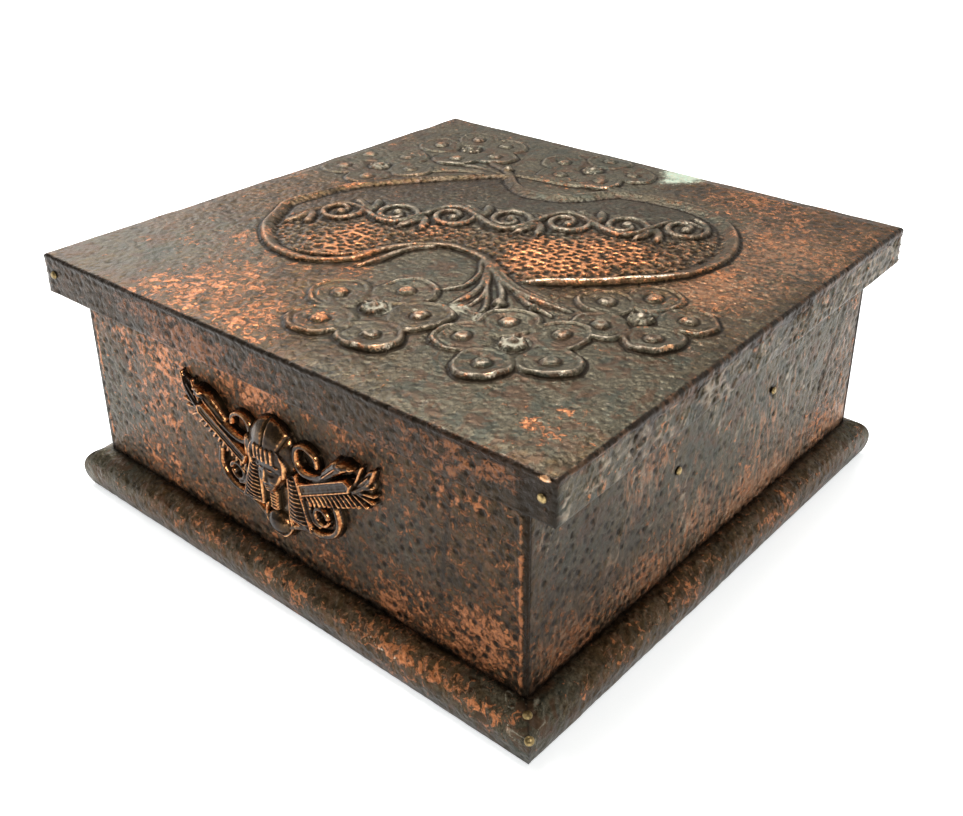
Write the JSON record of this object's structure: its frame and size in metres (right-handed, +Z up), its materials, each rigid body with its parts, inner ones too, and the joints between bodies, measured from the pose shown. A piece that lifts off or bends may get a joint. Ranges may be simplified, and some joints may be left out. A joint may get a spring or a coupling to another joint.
{
  "type": "hinged trinket box",
  "caption": "Square hammered copper-clad wooden box with an overhanging embossed lid, a moulded plinth, a cast winged head mount and a rear hinged lid.",
  "frame": {"origin": "centre of the underside, on the surface that the box stands on", "axes": "+Z up; the front wall with the cast mount faces -Y; +X to the right of somebody facing the front"},
  "size_m": [0.2056, 0.202, 0.0895],
  "materials": {
    "copper_sheet": "hammered copper sheet, dark brown patina worn to orange on the high spots",
    "cast_mount": "cast copper alloy, glossy near-black patina with bright worn edges",
    "brass_pin": "tarnished brass",
    "hinge_brass": "aged satin brass",
    "bare_wood": "bare close-grained wood, oiled and darkened by age"
  },
  "bodies": {
    "case": {"base_board": "bare_wood", "front_board": "bare_wood", "back_board": "bare_wood", "left_board": "bare_wood", "right_board": "bare_wood", "plinth_front": "bare_wood", "plinth_back": "bare_wood", "plinth_left": "bare_wood", "plinth_right": "bare_wood", "front_cladding": "copper_sheet", "back_cladding": "copper_sheet", "left_cladding": "copper_sheet", "right_cladding": "copper_sheet", "plinth_strip_front": "copper_sheet", "plinth_strip_back": "copper_sheet", "plinth_strip_left": "copper_sheet", "plinth_strip_right": "copper_sheet", "plinth_pin_1": "brass_pin", "plinth_pin_2": "brass_pin", "cladding_pin_1": "brass_pin", "cladding_pin_2": "brass_pin", "cladding_pin_3": "brass_pin", "cladding_pin_4": "brass_pin", "cladding_pin_5": "brass_pin", "cladding_pin_6": "brass_pin", "winged_head_mount": "cast_mount", "mount_peg_1": "cast_mount", "mount_peg_2": "cast_mount", "hinge_left_wall_leaf": "hinge_brass", "hinge_right_wall_leaf": "hinge_brass", "hinge_left_pin": "hinge_brass", "hinge_right_pin": "hinge_brass", "hinge_wall_screw_1": "hinge_brass", "hinge_wall_screw_2": "hinge_brass", "hinge_wall_screw_3": "hinge_brass", "hinge_wall_screw_4": "hinge_brass"},
    "lid": {"lid_board": "bare_wood", "lid_sheet": "copper_sheet", "hinge_left_lid_leaf": "hinge_brass", "hinge_right_lid_leaf": "hinge_brass", "lid_rim_pin_1": "brass_pin", "lid_rim_pin_2": "brass_pin", "lid_rim_pin_3": "brass_pin", "lid_rim_pin_4": "brass_pin", "hinge_lid_screw_1": "hinge_brass", "hinge_lid_screw_2": "hinge_brass", "hinge_lid_screw_3": "hinge_brass", "hinge_lid_screw_4": "hinge_brass"}
  },
  "joints": [
    {"name": "lid_hinge", "type": "hinge", "parent": "case", "child": "lid", "pos_m": [0, 0.0929, 0.0734], "axis": [-1, 0, 0], "range_deg": [0, 100]}
  ]
}
